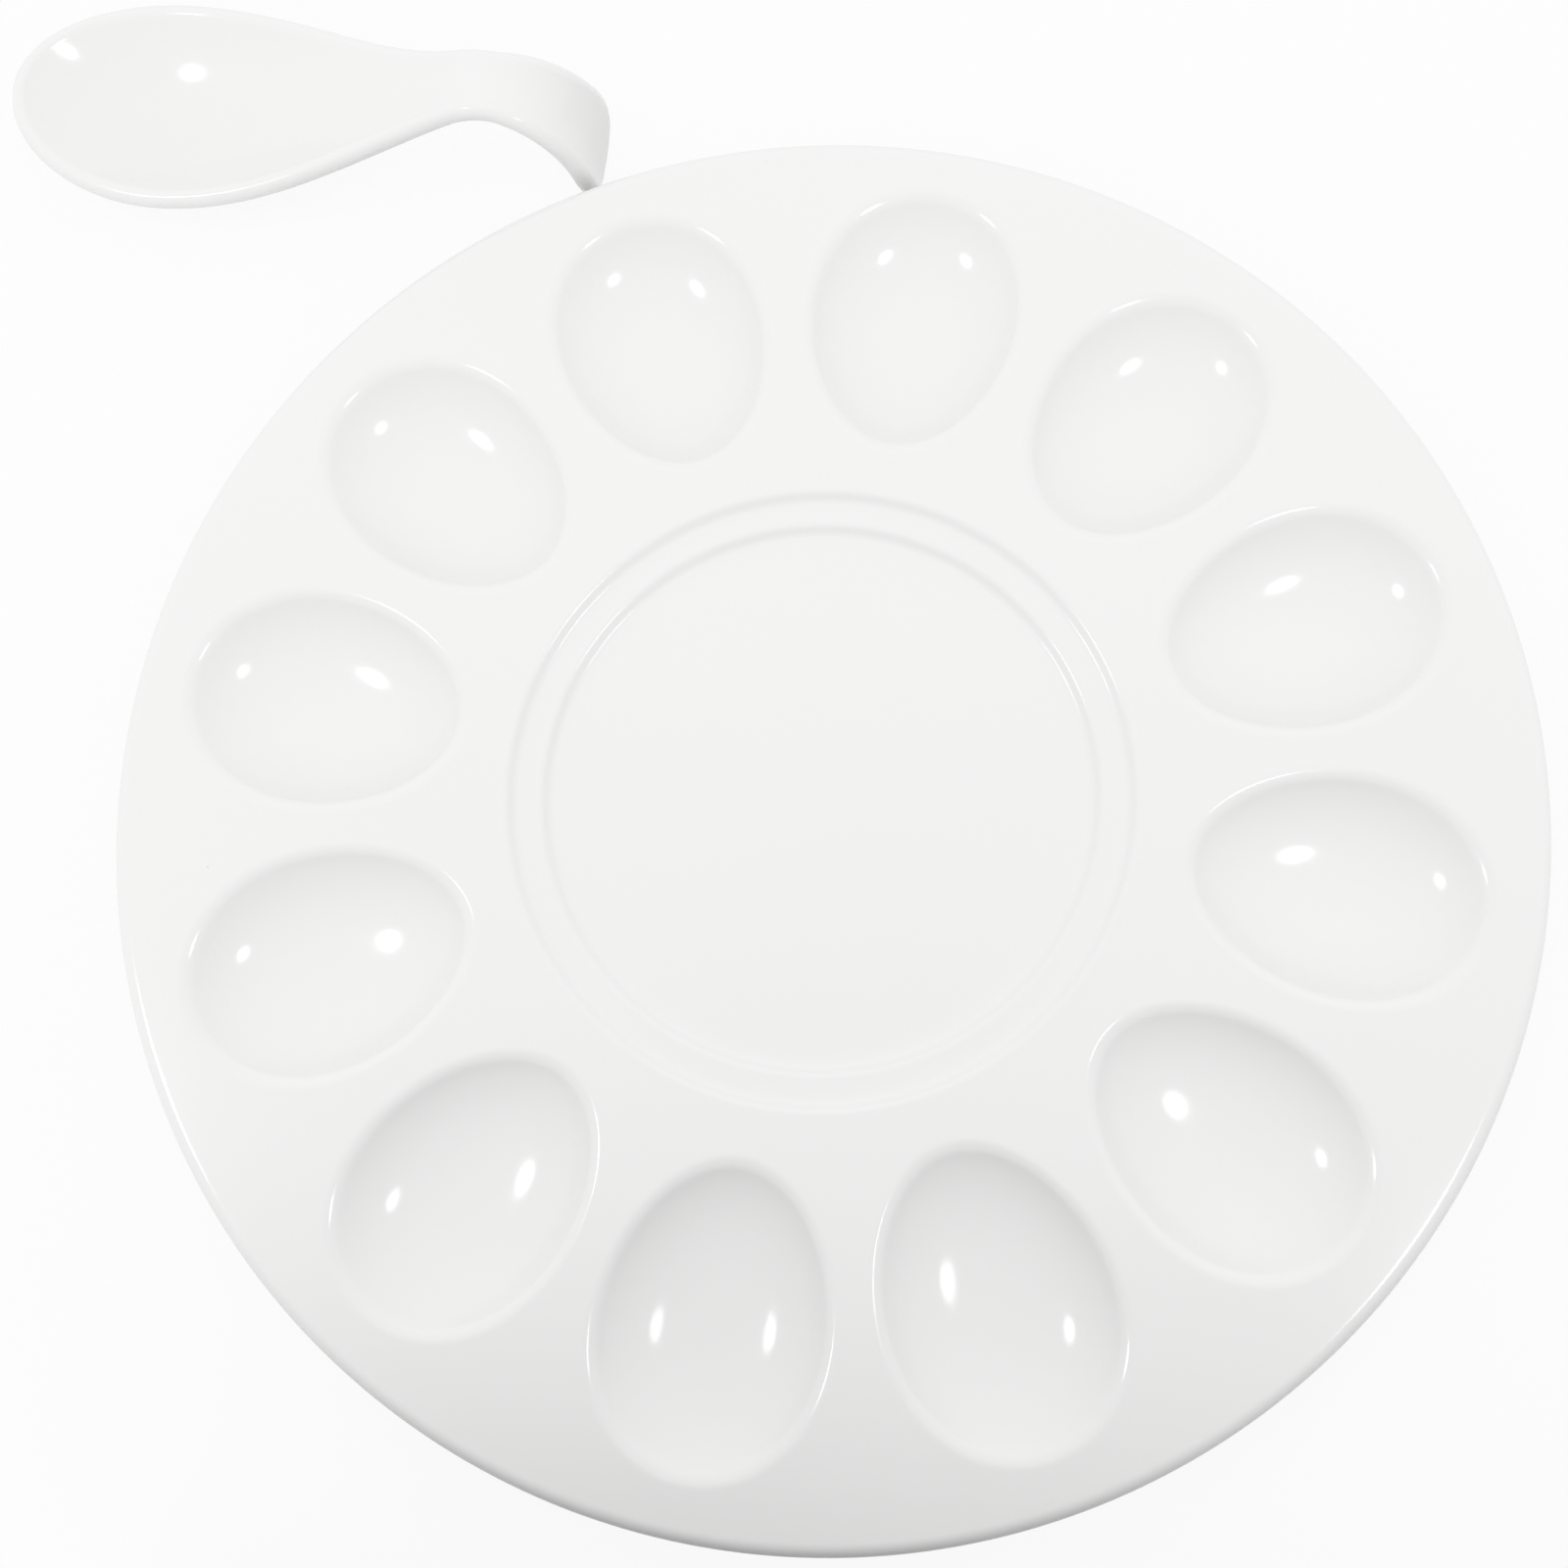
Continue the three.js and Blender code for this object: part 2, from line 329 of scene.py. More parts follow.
@dataclass(frozen=True)
class Porcelain:
    """A finish of white porcelain."""

    name: str
    light_tone: Colour
    shade_tone: Colour
    speck_tone: Colour
    smooth: float
    dull: float
    relief: float
    grain_share: float
    index: float = 1.5
    drift_scale: float = 11.0
    speck_scale: float = 55.0
    speck_size: float = 0.022
    ripple_scale: float = 60.0
    grain_scale: float = 420.0

    def material(self, clay: bpy.types.NodeTree) -> Material:
        """Makes the finish's material.

        Args:
            clay: The shared group that gives tone, roughness and relief.

        Returns:
            The material.
        """
        made, desk = blank_material(self.name)
        look = desk.node("ShaderNodeGroup", node_tree=clay)
        values = {
            "Place": desk.node("ShaderNodeTexCoord").outputs["Object"],
            "Light Tone": self.light_tone,
            "Shade Tone": self.shade_tone,
            "Speck Tone": self.speck_tone,
            "Drift Scale": self.drift_scale,
            "Speck Scale": self.speck_scale,
            "Speck Size": self.speck_size,
            "Ripple Scale": self.ripple_scale,
            "Grain Scale": self.grain_scale,
            "Grain Share": self.grain_share,
            "Smooth": self.smooth,
            "Dull": self.dull,
        }
        for name, value in values.items():
            desk.feed(look.inputs[name], value)
        relief = {"Strength": 1.0, "Distance": self.relief, "Height": look.outputs["Height"]}
        finish = {
            "Base Color": look.outputs["Colour"],
            "Roughness": look.outputs["Roughness"],
            "IOR": self.index,
            "Normal": desk.node("ShaderNodeBump", relief).outputs["Normal"],
        }
        body = desk.node("ShaderNodeBsdfPrincipled", finish)
        desk.node("ShaderNodeOutputMaterial", {"Surface": body.outputs["BSDF"]})
        return made


GLAZED = Porcelain(
    name="white_glaze",
    light_tone=(0.955, 0.955, 0.95, 1.0),
    shade_tone=(0.94, 0.94, 0.935, 1.0),
    speck_tone=(0.72, 0.7, 0.66, 1.0),
    smooth=0.09,
    dull=0.14,
    relief=0.03 * MM,
    grain_share=0.05,
)
UNGLAZED = Porcelain(
    name="bare_fired_clay",
    light_tone=(0.8, 0.785, 0.755, 1.0),
    shade_tone=(0.72, 0.7, 0.665, 1.0),
    speck_tone=(0.5, 0.46, 0.4, 1.0),
    smooth=0.55,
    dull=0.8,
    relief=0.06 * MM,
    grain_share=0.8,
)


@dataclass
class EggWell:
    """One well: half an egg sunk into the deck, its broad end outward."""

    length: float = 62.5 * MM
    width: float = 48 * MM
    depth: float = 10 * MM
    slope: float = 55.0  # degrees, of the wall at its brim
    fullness: float = 0.7  # how squarely the wall turns into the bottom
    taper: float = 0.1  # share of the width by which a well swells outward and narrows inward
    lip: float = 3.5 * MM
    wall: float = 4 * MM
    root_fillet: float = 1.2 * MM
    bowl_rows: int = 22
    lip_rows: int = 9
    bulge_rows: int = 14
    fillet_rows: int = 4
    search_steps: int = 199

    def __post_init__(self) -> None:
        """Works out the sizes that follow from the others."""
        self.half_width = self.width / 2
        self.stretch = (self.length - self.width) / 2
        self.angle = math.radians(self.slope)
        self.lip_run = self.lip * math.sin(self.angle)
        self.lip_drop = self.lip * (1 - math.cos(self.angle))
        self.brim_radius = (self.width - self.lip_run) / 2

    def egg(self, flat: np.ndarray) -> np.ndarray:
        """Pulls points of a round bowl out into an egg.

        Args:
            flat: Points across and along the bowl, with its middle at nought.

        Returns:
            The moved points.
        """
        radius = np.hypot(flat[..., 0], flat[..., 1])
        along = flat[..., 1] * (1 + self.stretch / np.maximum(radius, self.half_width))
        swell = 1 + self.taper * along / (self.half_width + self.stretch)
        return np.stack([flat[..., 0] * swell, along], axis=-1)

    def rings(self, profile: np.ndarray, around: np.ndarray) -> np.ndarray:
        """Turns a profile about the well's middle and pulls it out into an egg.

        Args:
            profile: Radii and heights from the middle outward.
            around: Angles from the outward direction, clockwise.

        Returns:
            Points of the rings, one row for each point of the profile.
        """
        radius, height = profile[:, :1], profile[:, 1:]
        flat = np.stack([radius * np.sin(around), radius * np.cos(around)], axis=-1)
        tall = np.broadcast_to(height, flat.shape[:2])[..., None]
        return np.concatenate([self.egg(flat), tall], axis=-1)

    def bowl(self, radius: float, bottom: float, brim: float, share: np.ndarray) -> np.ndarray:
        """Draws a bowl's profile, flat in the middle of its bottom and at the wall's slope at its brim.

        Args:
            radius: Radius of the brim.
            bottom: Height of the bottom.
            brim: Height of the brim.
            share: Places along the curve, from 0 in the middle to 1 at the brim.

        Returns:
            Radii and heights, one row for each place.
        """
        corner = np.array([radius - (brim - bottom) / math.tan(self.angle), bottom])
        middle, edge = np.array([0.0, bottom]), np.array([radius, brim])
        from_middle = middle + (corner - middle) * self.fullness
        from_edge = edge + (corner - edge) * self.fullness
        points = (middle, from_middle, from_edge, edge)
        t = share[:, None]
        weights = ((1 - t) ** 3, 3 * t * (1 - t) ** 2, 3 * t**2 * (1 - t), t**3)
        return sum(weight * point for weight, point in zip(weights, points))

    def inside(self, around: np.ndarray, deck: float) -> np.ndarray:
        """Draws the hollow of the well and its rounded lip.

        Args:
            around: Angles of the columns.
            deck: Height of the deck.

        Returns:
            Points from the bottom of the well to the deck.
        """
        share = np.linspace(0.0, 1.0, self.bowl_rows + 1)
        bowl = self.bowl(self.brim_radius, deck - self.depth, deck - self.lip_drop, share)
        middle = (self.brim_radius + self.lip_run, deck - self.lip)
        lip = arc(middle, self.lip, 90 + self.slope, 90, self.lip_rows)
        return self.rings(np.concatenate([bowl, lip[1:]]), around)

    def outside(self, around: np.ndarray, deck: float, underside: float) -> np.ndarray:
        """Draws the wall of the well as it hangs under the deck, with a fillet at its root.

        Args:
            around: Angles of the columns.
            deck: Height of the deck.
            underside: Height of the deck's underside.

        Returns:
            Points from the lowest point of the wall to the deck's underside.
        """
        radius = self.brim_radius + self.wall * math.sin(self.angle)
        bottom = deck - self.depth - self.wall
        root = deck - self.lip_drop - self.wall * math.cos(self.angle)
        fine = np.linspace(0.0, 1.0, self.search_steps + 1)
        heights = self.bowl(radius, bottom, root, fine)[:, 1]
        last = np.interp(underside - self.root_fillet, heights, fine)
        bulge = self.bowl(radius, bottom, root, np.linspace(0.0, last, self.bulge_rows + 1))
        slope = (bulge[-1, 0] - bulge[-2, 0]) / (bulge[-1, 1] - bulge[-2, 1])
        corner = (bulge[-1, 0] + slope * self.root_fillet, underside)
        fillet = curve(tuple(bulge[-1]), corner, (corner[0] + self.root_fillet, underside), self.fillet_rows)
        return self.rings(np.concatenate([bulge, fillet[1:]]), around)


def ring_of_sectors() -> bpy.types.NodeTree:
    """Builds the tree that sets one sector of the plate around its axis and welds the ring together.

    Returns:
        The geometry node tree.
    """
    tree = bpy.data.node_groups.new("ring_of_sectors", "GeometryNodeTree")
    desk = NodeDesk(tree)
    desk.sockets("INPUT", "NodeSocketGeometry", ("Sector",))
    desk.sockets("INPUT", "NodeSocketInt", ("Well Count",))
    desk.sockets("INPUT", "NodeSocketFloat", ("Weld Distance",))
    desk.sockets("INPUT", "NodeSocketMaterial", ("Glaze", "Bare Clay"))
    desk.sockets("OUTPUT", "NodeSocketGeometry", ("Plate",))
    given = desk.node("NodeGroupInput").outputs
    points = desk.node("GeometryNodePoints", {"Count": given["Well Count"]}).outputs[0]
    step = desk.sum("DIVIDE", 2 * math.pi, given["Well Count"])
    turn = desk.sum("MULTIPLY", desk.node("GeometryNodeInputIndex").outputs[0], step)
    spin = desk.node("ShaderNodeCombineXYZ", {"Z": turn}).outputs[0]
    stand = {"Points": points, "Instance": given["Sector"], "Rotation": spin}
    copies = desk.node("GeometryNodeInstanceOnPoints", stand).outputs[0]
    real = desk.node("GeometryNodeRealizeInstances", {"Geometry": copies}).outputs[0]
    weld = {"Geometry": real, "Distance": given["Weld Distance"]}
    welded = desk.node("GeometryNodeMergeByDistance", weld).outputs[0]
    smooth = desk.node("GeometryNodeSetShadeSmooth", {"Geometry": welded}).outputs[0]
    glazed = desk.node("GeometryNodeSetMaterial", {"Geometry": smooth, "Material": given["Glaze"]}).outputs[0]
    mark = desk.node("GeometryNodeInputNamedAttribute", {"Name": BARE_MARK}, data_type="BOOLEAN").outputs[0]
    dress = {"Geometry": glazed, "Selection": mark, "Material": given["Bare Clay"]}
    bare = desk.node("GeometryNodeSetMaterial", dress).outputs[0]
    desk.node("NodeGroupOutput", {"Plate": bare})
    return tree


@dataclass
class EggPlate:
    """The plate: a flat deck with a ring of wells, a stepped dish in the middle and a foot ring."""

    diameter: float = 307 * MM
    deck_thickness: float = 5.5 * MM
    edge_round: float = 3 * MM
    under_edge_round: float = 2 * MM
    well: EggWell = field(default_factory=EggWell)
    well_count: int = 12
    well_to_edge: float = 12 * MM
    dish_land: float = 12.4 * MM
    terrace_width: float = 7.4 * MM
    step_drop: float = 1.3 * MM
    step_run: float = 3 * MM
    foot_width: float = 5 * MM
    foot_round: float = 1.2 * MM
    foot_cove: float = 3 * MM
    foot_to_well: float = 4 * MM
    well_clearance: float = 6.5 * MM
    outer_steps: int = 28
    inner_steps: int = 20
    side_steps: int = 28
    deck_rows: int = 4
    under_rows: int = 3
    edge_rows: int = 10
    under_edge_rows: int = 6
    step_rows: int = 6
    floor_rows: int = 6
    cove_rows: int = 6
    toe_rows: int = 5
    foot_rows: int = 3
    hold: float = 0.4 * MM  # width of the rows beside a rounding that keep the flat next to it flat
    weld: float = 0.002 * MM

    def __post_init__(self) -> None:
        """Works out the sizes that follow from the others."""
        self.radius = self.diameter / 2
        self.ring_radius = self.radius - self.well_to_edge - self.well.length / 2
        self.well_inner_end = self.ring_radius - self.well.length / 2
        self.upper_step = self.well_inner_end - self.dish_land
        self.lower_step = self.upper_step - self.terrace_width
        self.deck = 2 * self.step_drop
        self.underside = self.deck - self.deck_thickness
        self.dish_underside = -self.deck_thickness
        self.table = self.deck - self.well.depth - self.well.wall - self.well_clearance
        self.foot_outer = self.well_inner_end - self.well.wall - self.foot_to_well
        self.foot_inner = self.foot_outer - self.foot_width
        self.half_sector = math.pi / self.well_count

    def sector_outline(self, inner: float, outer: float) -> np.ndarray:
        """Draws the outline of one well's share of the plate, clockwise from its outer left corner.

        Args:
            inner: Radius of the inner side.
            outer: Radius of the outer side.

        Returns:
            The outline's points, across and along.
        """
        half = self.half_sector
        outer_turn = np.linspace(-half, half, self.outer_steps + 1)[:-1]
        inner_turn = np.linspace(half, -half, self.inner_steps + 1)[:-1]
        inward = np.linspace(outer, inner, self.side_steps + 1)[:-1]
        outward = np.linspace(inner, outer, self.side_steps + 1)[:-1]
        turns = (outer_turn, np.full(self.side_steps, half), inner_turn, np.full(self.side_steps, -half))
        radii = (np.full(self.outer_steps, outer), inward, np.full(self.inner_steps, inner), outward)
        turn, radius = np.concatenate(turns), np.concatenate(radii)
        return np.stack([radius * np.sin(turn), radius * np.cos(turn)], axis=-1)

    def turned(self, profile: np.ndarray, steps: int) -> np.ndarray:
        """Turns a profile about the plate's axis, through one sector.

        Args:
            profile: Radii and heights.
            steps: Number of steps through the sector.

        Returns:
            The patch's points.
        """
        turn = np.linspace(-self.half_sector, self.half_sector, steps + 1)
        radius = profile[:, :1]
        tall = np.broadcast_to(profile[:, 1:], (len(profile), steps + 1))
        return np.stack([radius * np.sin(turn), radius * np.cos(turn), tall], axis=-1)

    def land(self, rim: np.ndarray, outline: np.ndarray, rows: int) -> np.ndarray:
        """Fills the flat between a well's rim and the outline of its sector.

        Args:
            rim: Points of the rim.
            outline: The sector's outline, across and along.
            rows: Number of rows between the two, apart from a narrow one at each side that holds the flat.

        Returns:
            The patch's points.
        """
        tall = np.full((len(outline), 1), rim[0, 2])
        far = np.concatenate([outline, tall], axis=-1)
        narrow = self.hold / np.linalg.norm(far - rim, axis=-1)
        steps = np.linspace(0.0, 1.0, rows + 1)[:, None]
        wide = narrow + (1 - 2 * narrow) * steps
        share = np.vstack([np.zeros_like(narrow), wide, np.ones_like(narrow)])[..., None]
        return rim + (far - rim) * share

    def edge_profile(self) -> np.ndarray:
        """Draws the plate's rounded edge, from the underside up to the deck."""
        low = self.underside + self.under_edge_round
        high = self.deck - self.edge_round
        inward = self.radius - self.under_edge_round
        under = arc((inward, low), self.under_edge_round, -90, 0, self.under_edge_rows)
        over = arc((self.radius - self.edge_round, high), self.edge_round, 0, 90, self.edge_rows)
        return np.concatenate([under, over])

    def dish_profile(self) -> np.ndarray:
        """Draws the dish from the deck down its two soft steps to the middle of its floor."""
        half, drop, rows = self.step_run / 2, self.step_drop, self.step_rows
        flat = half + self.hold
        parts = []
        for radius, top in ((self.upper_step, self.deck), (self.lower_step, self.deck - drop)):
            middle, low = (radius, top - drop / 2), top - drop
            parts.append(np.array([(radius + flat, top)]))
            parts.append(curve((radius + half, top), (radius + half / 2, top), middle, rows))
            parts.append(curve(middle, (radius - half / 2, low), (radius - half, low), rows)[1:])
            parts.append(np.array([(radius - flat, low)]))
        floor = line((self.lower_step - flat, 0.0), (0.0, 0.0), self.floor_rows)
        return np.concatenate([*parts, floor[1:]])[1:]

    def foot_profiles(self) -> list[tuple[np.ndarray, Surface]]:
        """Draws the underside from the foot ring's outer cove to the middle, glazed or bare."""
        cove, rounding, rows = self.foot_cove, self.foot_round, self.foot_rows
        out, into, toe = self.foot_outer, self.foot_inner, self.table + self.foot_round
        deck, dish = self.underside, self.dish_underside
        outer_cove = curve((out + cove, deck), (out, deck), (out, deck - cove), self.cove_rows)
        outer_side = line((out, deck - cove), (out, toe), rows)
        outer_toe = arc((out - rounding, toe), rounding, 0, -90, self.toe_rows)
        ground = line((out - rounding, self.table), (into + rounding, self.table), rows)
        inner_toe = arc((into + rounding, toe), rounding, -90, -180, self.toe_rows)
        inner_side = line((into, toe), (into, dish - cove), rows)
        inner_cove = curve((into, dish - cove), (into, dish), (into - cove, dish), self.cove_rows)
        floor = line((into - cove, dish), (0.0, dish), self.floor_rows)
        outside = np.concatenate([outer_cove, outer_side[1:], outer_toe[1:]])
        inside = np.concatenate([inner_toe, inner_side[1:], inner_cove[1:], floor[1:]])
        return [(outside, Surface.GLAZE), (ground, Surface.BARE), (inside, Surface.GLAZE)]

    def sector(self) -> bpy.types.Mesh:
        """Draws one well's share of the plate.

        Returns:
            The sector's mesh, open at its two sides.
        """
        draft = MeshDraft()
        middle = np.array([0.0, self.ring_radius, 0.0])
        top = self.sector_outline(self.upper_step + self.step_run / 2, self.radius - self.edge_round)
        offset = top - middle[:2]
        around = np.arctan2(offset[:, 0], offset[:, 1] * self.well.width / self.well.length)
        inside = self.well.inside(around, self.deck) + middle
        draft.add(inside, closed=True)
        draft.add(self.land(inside[-1], top, self.deck_rows), closed=True)
        draft.add(self.turned(self.edge_profile(), self.outer_steps))
        draft.add(self.turned(self.dish_profile(), self.inner_steps))

        below = self.sector_outline(self.foot_outer + self.foot_cove, self.radius - self.under_edge_round)
        outside = self.well.outside(around, self.deck, self.underside) + middle
        draft.add(outside, closed=True)
        draft.add(self.land(outside[-1], below, self.under_rows), closed=True)
        for profile, surface in self.foot_profiles():
            draft.add(self.turned(profile, self.inner_steps), surface=surface)
        return draft.mesh("plate_sector")

    def build(self, glaze: Material, bare: Material) -> bpy.types.Object:
        """Sets the sector around the axis and welds the plate together.

        Args:
            glaze: Material of the glazed faces.
            bare: Material of the toe of the foot ring.

        Returns:
            The plate.
        """
        sector = show("plate_sector", self.sector())
        tree = ring_of_sectors()
        ring = sector.modifiers.new("ring", "NODES")
        ring.node_group = tree
        sockets = {item.name: item.identifier for item in tree.interface.items_tree if item.in_out == "INPUT"}
        ring[sockets["Well Count"]] = self.well_count
        ring[sockets["Weld Distance"]] = self.weld
        ring[sockets["Glaze"]] = glaze
        ring[sockets["Bare Clay"]] = bare
        graph = bpy.context.evaluated_depsgraph_get()
        mesh = bpy.data.meshes.new_from_object(sector.evaluated_get(graph))
        sector.modifiers.remove(ring)
        bpy.data.objects.remove(sector)
        mesh.name = "plate_body"
        close_skin(mesh, self.weld)
        return show("plate_body", mesh)

    def dress(self, piece: bpy.types.Object) -> None:
        """Lets the plate stand for its solid and ride on its body."""
        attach(piece, "plate")
        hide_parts("egg_plate")


@dataclass
class ServingSpoon:
    """The spoon: a bowl, a neck, and a flat handle that curls over into a hook.

    Its rim line, in side view, is three arcs: one that rises, one over the top and one down to the table.
    Lengths are taken along that line, from the tip of the bowl.
    """

    wall: float = 4.5 * MM
    bowl_width: float = 54 * MM
    bowl_front: float = 37 * MM
    bowl_depth: float = 9.5 * MM
    neck_width: float = 17 * MM
    neck_at: float = 125 * MM
    tail_width: float = 27 * MM
    tail_round: float = 12.5 * MM
    tip_pitch: float = -10.0  # degrees, heading of the rim at the tip
    rise_length: float = 113.6 * MM
    rise_turn: float = 36.0
    hook_radius: float = 19.3 * MM
    hook_turn: float = 67.0
    drop_radius: float = 25.3 * MM
    drop_turn: float = 61.7
    flat: float = 0.4 * MM  # ground off underneath, so that the spoon stands
    bearing: float = 0.7  # degrees from +Y, clockwise
    gap: float = 1.2 * MM  # least room between the plate's edge and the hook
    heading: float = -26.2  # degrees from +X, the way the handle points
    front_rows: int = 26
    body_rows: int = 96
    tail_rows: int = 18
    columns: int = 44
    edge_steps: int = 12
    slope_step: float = 0.01 * MM
    weld: float = 0.004 * MM

    def __post_init__(self) -> None:
        """Works out the sizes that follow from the others."""
        rise, hook, drop = (math.radians(turn) for turn in (self.rise_turn, self.hook_turn, self.drop_turn))
        self.arcs = (
            (self.rise_length, rise),
            (self.hook_radius * hook, -hook),
            (self.drop_radius * drop, -drop),
        )
        self.rim_length = sum(length for length, _ in self.arcs)
        self.edge = self.wall / 2
        self.bowl_half = self.bowl_width / 2 - self.edge
        self.neck_half = self.neck_width / 2 - self.edge
        self.tail_half = self.tail_width / 2 - self.edge
        self.bowl_curve = self.bowl_depth / self.bowl_half**2

    def stations(self) -> np.ndarray:
        """Picks the lengths at which the loops stand, closer together at both rounded ends."""
        front_turn = np.linspace(0, math.pi / 2, self.front_rows + 1)
        tail_turn = np.linspace(0, math.pi / 2, self.tail_rows + 1)
        front = self.bowl_front * (1 - np.cos(front_turn))
        body = np.linspace(self.bowl_front, self.rim_length - self.tail_round, self.body_rows + 1)
        tail = self.rim_length - self.tail_round * (1 - np.sin(tail_turn))
        return np.concatenate([front[:-1], body[:-1], tail])

    def rim_line(self, length: np.ndarray) -> tuple[np.ndarray, np.ndarray, np.ndarray]:
        """Follows the rim line.

        Args:
            length: Lengths along the line.

        Returns:
            Distances, heights and headings in side view.
        """
        x, z = np.zeros_like(length), np.zeros_like(length)
        heading = np.full_like(length, math.radians(self.tip_pitch))
        left = length.copy()
        for span, turn in self.arcs:
            run = np.clip(left, 0, span)
            radius = span / turn
            ahead = heading + run / radius
            x += radius * (np.sin(ahead) - np.sin(heading))
            z -= radius * (np.cos(ahead) - np.cos(heading))
            heading = ahead
            left = left - run
        return x, z, heading

    def half_width_squared(self, length: np.ndarray) -> np.ndarray:
        """Squares half the width between the middles of the rounded edges.

        Args:
            length: Lengths along the rim line.

        Returns:
            The squares, nought at both ends.
        """

        def share(start: float, end: float) -> np.ndarray:
            """Gives how far each length has come from start to end, from 0 to 1."""
            return np.clip((length - start) / (end - start), 0, 1)

        front = 1 - share(0, self.bowl_front)
        body = (1 + np.cos(math.pi * share(self.bowl_front, self.neck_at))) / 2
        half = self.neck_half + (self.bowl_half - self.neck_half) * body
        half = half + (self.tail_half - self.neck_half) * share(self.neck_at, self.rim_length)
        tail = share(self.rim_length - self.tail_round, self.rim_length)
        return half**2 * (1 - front**2) * (1 - tail**2)

    def loops(self) -> np.ndarray:
        """Draws the skin: loops over the top, round one edge, back underneath and round the other edge.

        Returns:
            Points, as loops by places around the loop by 3.
        """
        length = self.stations()
        x, z, heading = self.rim_line(length)
        nought = np.zeros_like(x)
        along = np.stack([np.cos(heading), nought, np.sin(heading)], axis=-1)
        up = np.stack([-np.sin(heading), nought, np.cos(heading)], axis=-1)
        across = np.array([0.0, 1.0, 0.0])
        square = self.half_width_squared(length)
        half = np.sqrt(square)
        before = np.maximum(length - self.slope_step, 0)
        after = np.minimum(length + self.slope_step, self.rim_length)
        growth = (self.half_width_squared(after) - self.half_width_squared(before)) / (after - before)

        def unit(vectors: np.ndarray) -> np.ndarray:
            """Brings vectors to unit length."""
            return vectors / np.maximum(np.linalg.norm(vectors, axis=-1, keepdims=True), TINY)

        def wall_points(place: float, outward: float, upward: float) -> np.ndarray:
            """Finds the points of all loops at one place across the spoon.

            Args:
                place: Place across, from -1 to 1.
                outward: Share of the edge's radius to move outward.
                upward: Share of the edge's radius to move upward, square to the wall.

            Returns:
                One point for each loop.
            """
            y = place * half
            sink = self.bowl_curve * (y**2 - square)
            along_wall = along - up * (self.bowl_curve * growth)[:, None]
            across_wall = across + up * (2 * self.bowl_curve * y)[:, None]
            normal = unit(np.cross(along_wall, across_wall))
            out = unit(across_wall * (2 * y)[:, None] - along_wall * growth[:, None])
            middle = np.stack([x, y, z], axis=-1) + up * sink[:, None]
            return middle + self.edge * (outward * out + upward * normal)

        ring = []
        for side in (1, -1):
            for place in np.linspace(-side, side, self.columns + 1):
                ring.append(wall_points(place, 0.0, side))
            for turn in np.linspace(0, math.pi, self.edge_steps + 1)[1:-1]:
                ring.append(wall_points(side, math.sin(turn), side * math.cos(turn)))
        return np.stack(ring, axis=1)

    def build(self, plate: EggPlate, glaze: Material, bare: Material) -> bpy.types.Object:
        """Draws the spoon and stands it on the table beside the plate.

        Args:
            plate: The plate that it stands beside.
            glaze: Material of the glazed faces.
            bare: Material of the flat that is ground underneath.

        Returns:
            The spoon.
        """
        skin = self.loops()
        low = skin.reshape(-1, 3).min(axis=0)
        high = skin.reshape(-1, 3).max(axis=0)
        skin = skin - np.array([high[0], 0.0, low[2] + self.flat])
        skin[..., 2] = np.maximum(skin[..., 2], 0.0)
        turn = math.radians(self.heading)
        cos, sin = math.cos(turn), math.sin(turn)
        spin = np.array([[cos, sin, 0], [-sin, cos, 0], [0, 0, 1]])
        reach = plate.radius + self.gap + self.tail_width / 2
        aside = math.radians(self.bearing)
        place = np.array([reach * math.sin(aside), reach * math.cos(aside), plate.table])
        draft = MeshDraft()
        draft.add(skin @ spin + place, closed=True)
        mesh = draft.mesh("spoon_body")
        mesh.materials.append(glaze)
        mesh.materials.append(bare)
        close_skin(mesh, self.weld)
        ground = plate.table + self.weld
        for face in mesh.polygons:
            if all(mesh.vertices[corner].co.z < ground for corner in face.vertices):
                face.material_index = Surface.BARE.value
        return show("spoon_body", mesh)

    def dress(self, piece: bpy.types.Object) -> None:
        """Lets the spoon stand for its solid and ride on its body."""
        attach(piece, "spoon")
        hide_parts("serving_spoon")


@dataclass(frozen=True)
class StudioCamera:
    """The camera, as the picture was taken: from high above, a little turned and rolled."""

    place: Place = (-6.53 * MM, -77.42 * MM, 369.7 * MM)
    azimuth: float = -5.469
    elevation: float = 77.64
    roll: float = -13.703
    lens: float = 40.414
    sensor: float = 36.0
    shift: Point = (-0.02295, -0.00448)
    nearest: float = 10 * MM

    def set_up(self) -> None:
        """Makes the camera and hands the scene to it."""
        data = bpy.data.cameras.new("studio_camera")
        data.lens = self.lens
        data.sensor_width = self.sensor
        data.shift_x, data.shift_y = self.shift
        data.clip_start = self.nearest
        camera = bpy.data.objects.new("studio_camera", data)
        bpy.context.scene.collection.objects.link(camera)
        swing = Matrix.Rotation(math.radians(self.azimuth), 4, "Z")
        tilt = Matrix.Rotation(math.radians(90 - self.elevation), 4, "X")
        roll = Matrix.Rotation(math.radians(self.roll), 4, "Z")
        camera.matrix_world = Matrix.Translation(self.place) @ swing @ tilt @ roll
        bpy.context.scene.camera = camera


@dataclass(frozen=True)
class SoftLamp:
    """A round soft lamp that faces the plate."""

    name: str
    place: Place
    size: float
    radiance: float

    def set_up(self) -> None:
        """Makes the lamp, as strong as its disc's size and brightness make it."""
        data = bpy.data.lights.new(self.name, "AREA")
        data.shape = "DISK"
        data.size = self.size
        disc = math.pi * self.size**2 / 4
        data.energy = self.radiance * math.pi * disc
        lamp = bpy.data.objects.new(self.name, data)
        bpy.context.scene.collection.objects.link(lamp)
        lamp.location = self.place
        lamp.rotation_euler = Vector(self.place).to_track_quat("Z", "Y").to_euler()


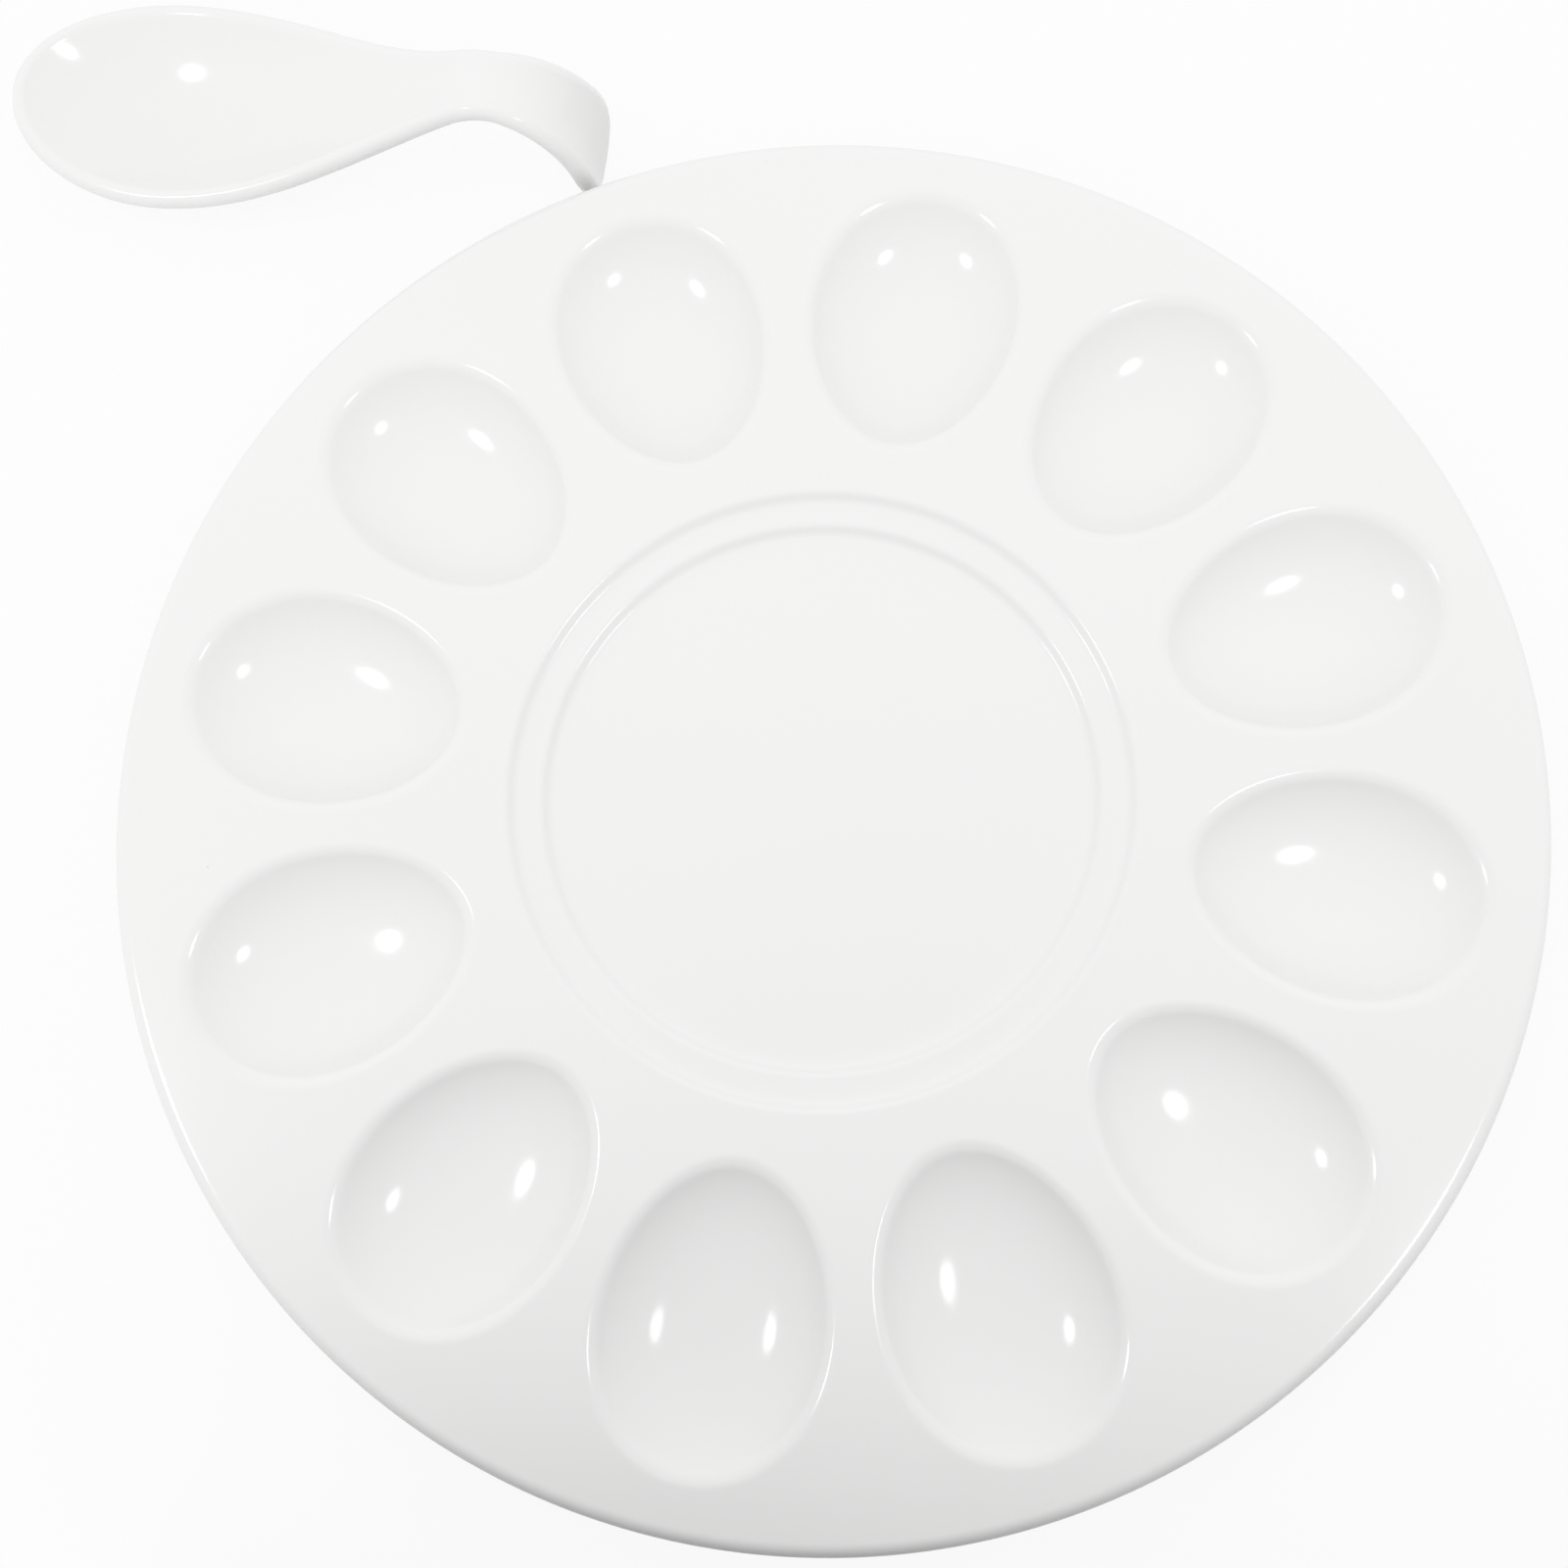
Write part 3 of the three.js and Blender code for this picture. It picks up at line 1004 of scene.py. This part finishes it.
@dataclass(frozen=True)
class DarkCard:
    """A dark card, out of the picture and out of all mirror images, that takes light away from one side."""

    name: str
    place: Place
    turn: float
    width: float
    height: float
    tone: Colour = (0.04, 0.04, 0.04, 1.0)

    def set_up(self) -> None:
        """Puts the card up, with the middle of its lower edge in its place."""
        swing = Matrix.Rotation(math.radians(self.turn), 3, "Z")
        along = np.array(swing @ Vector((1.0, 0.0, 0.0))) * self.width / 2
        low = np.array(self.place)
        high = low + np.array([0.0, 0.0, self.height])
        draft = MeshDraft()
        draft.add(np.array([[edge - along, edge + along] for edge in (low, high)]))
        mesh = draft.mesh(self.name)
        made, desk = blank_material(f"{self.name}_felt")
        felt = desk.node("ShaderNodeBsdfDiffuse", {"Color": self.tone}).outputs[0]
        desk.node("ShaderNodeOutputMaterial", {"Surface": felt})
        mesh.materials.append(made)
        card = show(self.name, mesh)
        card.visible_camera = False
        card.visible_glossy = False


@dataclass(frozen=True)
class Studio:
    """The white room around the set: its floor, its even light, its cards and its lamps."""

    floor_size: float = 8.0
    floor_gap: float = 0.1 * MM
    floor_tone: Colour = (0.88, 0.88, 0.88, 1.0)
    floor_white: float = 0.9  # share of plain white in what is seen of the floor
    room_light: float = 0.868  # strength of the room's light on the set
    cards: tuple[DarkCard, ...] = (
        DarkCard("near_card", place=(0.011, -0.208, -0.018), turn=-25.0, width=0.44, height=0.11),
    )
    lamps: tuple[SoftLamp, ...] = (
        SoftLamp("right_lamp", place=(0.74, -0.6, 2.1), size=0.4, radiance=7.5),
        SoftLamp("left_lamp", place=(-1.13, 0.3, 1.85), size=0.36, radiance=8.5),
    )

    def seen(self, desk: NodeDesk) -> Socket:
        """Tells the rays that look at the background from those that light the set.

        Args:
            desk: The tree to add the nodes to.

        Returns:
            1 for camera, mirror and glass rays, 0 for the others.
        """
        path = desk.node("ShaderNodeLightPath").outputs
        mirror = desk.sum("MAXIMUM", path["Is Glossy Ray"], path["Is Transmission Ray"])
        return desk.sum("MAXIMUM", path["Is Camera Ray"], mirror)

    def floor(self, height: float) -> bpy.types.Object:
        """Lays the floor.

        Args:
            height: Height of its upper face.

        Returns:
            The floor.
        """
        sides = (-self.floor_size / 2, self.floor_size / 2)
        draft = MeshDraft()
        draft.add(np.array([[[x, y, height] for x in sides] for y in sides]))
        mesh = draft.mesh("studio_floor")
        made, desk = blank_material("studio_floor_white")
        paint = desk.node("ShaderNodeBsdfDiffuse", {"Color": self.floor_tone}).outputs[0]
        white = desk.node("ShaderNodeEmission", {"Color": WHITE, "Strength": 1.0}).outputs[0]
        share = desk.sum("MULTIPLY", self.seen(desk), self.floor_white)
        mixed = desk.node("ShaderNodeMixShader", {"Fac": share})
        desk.feed(mixed.inputs[1], paint)
        desk.feed(mixed.inputs[2], white)
        desk.node("ShaderNodeOutputMaterial", {"Surface": mixed.outputs[0]})
        mesh.materials.append(made)
        return show("studio_floor", mesh)

    def room(self) -> None:
        """Fills the room with even light, white to the camera."""
        world = bpy.data.worlds.new("studio_room")
        world.use_nodes = True
        world.node_tree.nodes.clear()
        desk = NodeDesk(world.node_tree)
        extra = desk.sum("MULTIPLY", self.seen(desk), 1.0 - self.room_light)
        strength = desk.sum("ADD", extra, self.room_light)
        light = desk.node("ShaderNodeBackground", {"Color": WHITE, "Strength": strength})
        desk.node("ShaderNodeOutputWorld", {"Surface": light.outputs[0]})
        bpy.context.scene.world = world

    def set_up(self, table: float) -> None:
        """Lays the floor, lights the room and puts up the cards and lamps.

        Args:
            table: Height of the table top that the set stands on.
        """
        self.floor(table - self.floor_gap)
        self.room()
        for card in self.cards:
            card.set_up()
        for lamp in self.lamps:
            lamp.set_up()
        bpy.context.scene.view_settings.view_transform = "Standard"


def main() -> None:
    """Builds the set in order: plate, spoon, then the studio around them."""
    logging.basicConfig(level=logging.INFO, format="%(name)s: %(message)s")
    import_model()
    StudioCamera().set_up()
    clay = fired_clay()
    glaze, bare = GLAZED.material(clay), UNGLAZED.material(clay)

    plate = EggPlate()
    plate_piece = plate.build(glaze, bare)
    plate.dress(plate_piece)
    LOG.info("%s: %d faces", plate_piece.name, len(plate_piece.data.polygons))

    spoon = ServingSpoon()
    spoon_piece = spoon.build(plate, glaze, bare)
    spoon.dress(spoon_piece)
    LOG.info("%s: %d faces", spoon_piece.name, len(spoon_piece.data.polygons))

    Studio().set_up(plate.table)


if __name__ == "__main__":
    main()
